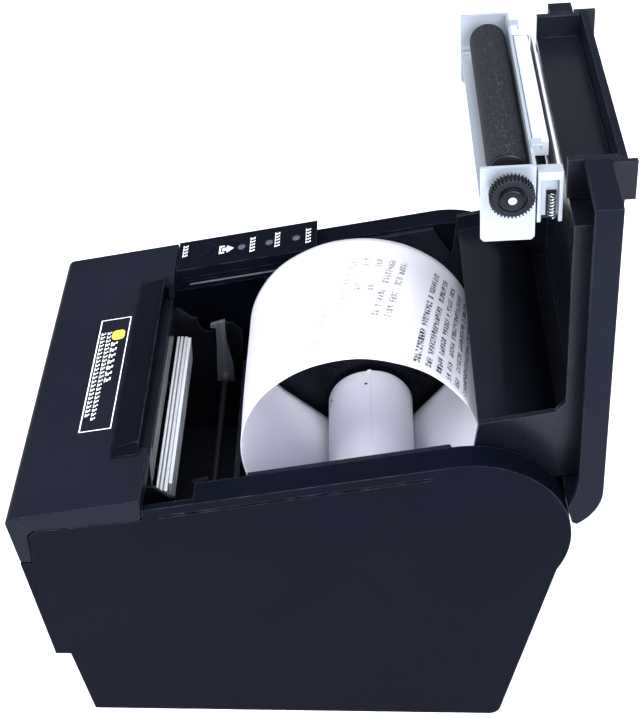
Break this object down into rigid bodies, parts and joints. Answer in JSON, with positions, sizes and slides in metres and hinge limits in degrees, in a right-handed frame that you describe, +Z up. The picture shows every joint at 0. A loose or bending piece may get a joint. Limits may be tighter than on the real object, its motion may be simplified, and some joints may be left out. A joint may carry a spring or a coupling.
{
  "type": "receipt printer",
  "caption": "Black thermal receipt printer with its paper lid open, showing the platen roller, cutter, paper bin, control strip and a loop of printed paper.",
  "frame": {"origin": "on the resting plane, under the middle of the bounding box with the lid open", "axes": "+Z up, -Y the front, where the paper leaves, +X the user's right, along the platen"},
  "size_m": [0.148, 0.1992, 0.2308],
  "materials": {
    "case_plastic": "fine textured black",
    "inner_plastic": "semi-gloss black",
    "rubber": "dark grey rubber",
    "steel": "ground steel",
    "zinc_sheet": "bright plated sheet",
    "gear_plastic": "moulded acetal",
    "ceramic": "glazed strip",
    "paper": "thermal paper",
    "circuit_board": "green board",
    "led_lens": "frosted lens"
  },
  "bodies": {
    "case": {"main_case": "case_plastic", "base_pan": "case_plastic", "foot_1": "rubber", "foot_2": "rubber", "foot_3": "rubber", "foot_4": "rubber", "base_screw_1": "steel", "base_screw_2": "steel", "base_screw_3": "steel", "base_screw_4": "steel", "front_cover": "case_plastic", "paper_exit_lip": "case_plastic", "control_panel": "case_plastic", "control_board": "circuit_board", "led_power": "led_lens", "led_error": "led_lens", "led_paper": "led_lens", "paper_bin": "inner_plastic", "mechanism_frame": "zinc_sheet", "spring_plate": "zinc_sheet", "head_spring_left": "steel", "head_spring_right": "steel", "cutter_housing": "inner_plastic", "cutter_motor": "steel", "feed_motor": "steel", "main_board": "circuit_board", "power_socket": "inner_plastic", "usb_socket": "steel", "network_socket": "steel", "drawer_socket": "inner_plastic", "switch_frame": "inner_plastic", "hinge_pin_left": "steel", "hinge_pin_right": "steel", "paper_loop": "paper"},
    "lid": {"lid_cover": "case_plastic", "lid_liner": "inner_plastic", "lid_bezel": "inner_plastic", "platen_bracket": "zinc_sheet", "fixed_blade": "steel", "blade_channel": "zinc_sheet", "blade_guard": "zinc_sheet", "bracket_hanger": "zinc_sheet", "platen_bush_left": "gear_plastic", "platen_bush_right": "gear_plastic"},
    "platen": {"platen_shaft": "steel", "platen_roller": "rubber", "platen_gear": "gear_plastic"},
    "feed_button": {"feed_button": "case_plastic"},
    "print_head": {"print_head": "ceramic", "head_heat_sink": "zinc_sheet"},
    "platen_hook": {"platen_hook": "zinc_sheet"},
    "moving_blade": {"moving_blade": "steel"},
    "cutter_gear": {"cutter_gear": "gear_plastic"},
    "reducer": {"reducer_gear": "gear_plastic"},
    "idler": {"idler_gear": "gear_plastic"},
    "pinion": {"motor_pinion": "gear_plastic"},
    "low_paper_lever": {"low_paper_lever": "gear_plastic"},
    "power_switch": {"power_switch": "gear_plastic"},
    "paper_roll": {"paper_roll": "paper", "paper_core": "paper"}
  },
  "joints": [
    {"name": "lid_hinge", "type": "hinge", "parent": "case", "child": "lid", "pos_m": [0, 0.06849, 0.111], "axis": [1, 0, 0], "range_deg": [0, 97.8], "deforming": ["paper_loop"]},
    {"name": "platen_spin", "type": "hinge", "parent": "lid", "child": "platen", "pos_m": [0, 0.06196, 0.22182], "axis": [1, 0, 0], "continuous": true},
    {"name": "feed_button_slide", "type": "slide", "parent": "case", "child": "feed_button", "axis": [0, 0.2079, -0.9781], "range_m": [0, 0.0008], "stiffness_N_per_m": 700, "springref_m": -0.0004},
    {"name": "print_head_slide", "type": "slide", "parent": "case", "child": "print_head", "axis": [0, -1, 0], "range_m": [0, 0.0005], "stiffness_N_per_m": 2500, "springref_m": -0.0002},
    {"name": "platen_hook_pivot", "type": "hinge", "parent": "case", "child": "platen_hook", "pos_m": [0, -0.03401, 0.068], "axis": [1, 0, 0], "range_deg": [-12, 0], "stiffness_Nm_per_rad": 0.2, "springref_deg": 5.73},
    {"name": "blade_slide", "type": "slide", "parent": "case", "child": "moving_blade", "axis": [0, 1, 0], "range_m": [0, 0.008]},
    {"name": "cutter_gear_spin", "type": "hinge", "parent": "case", "child": "cutter_gear", "pos_m": [0, -0.07551, 0.0972], "axis": [0, 0, 1], "range_deg": [0, 181]},
    {"name": "reducer_gear_spin", "type": "hinge", "parent": "case", "child": "reducer", "pos_m": [0, -0.04907, 0.06533], "axis": [1, 0, 0], "continuous": true},
    {"name": "idler_gear_spin", "type": "hinge", "parent": "case", "child": "idler", "pos_m": [0, -0.04638, 0.07915], "axis": [1, 0, 0], "continuous": true},
    {"name": "motor_pinion_spin", "type": "hinge", "parent": "case", "child": "pinion", "pos_m": [0, -0.05901, 0.0575], "axis": [1, 0, 0], "continuous": true},
    {"name": "low_paper_lever_pivot", "type": "hinge", "parent": "case", "child": "low_paper_lever", "pos_m": [-0.047, 0.01399, 0.061], "axis": [0, 1, 0], "range_deg": [0, 16], "stiffness_Nm_per_rad": 0.004, "springref_deg": -5.73},
    {"name": "power_switch_pivot", "type": "hinge", "parent": "case", "child": "power_switch", "pos_m": [0.054, 0.07549, 0.02], "axis": [1, 0, 0], "range_deg": [0, 14]},
    {"name": "paper_roll_spin", "type": "hinge", "parent": "case", "child": "paper_roll", "pos_m": [0, 0.02599, 0.0573], "axis": [1, 0, 0], "continuous": true}
  ],
  "couplings": [
    {"joint": "idler_gear_spin", "follows": "reducer_gear_spin", "ratio": -1.6},
    {"joint": "motor_pinion_spin", "follows": "reducer_gear_spin", "ratio": -2.1818},
    {"joint": "cutter_gear_spin", "follows": "blade_slide", "rad_per_m": 392.7}
  ]
}
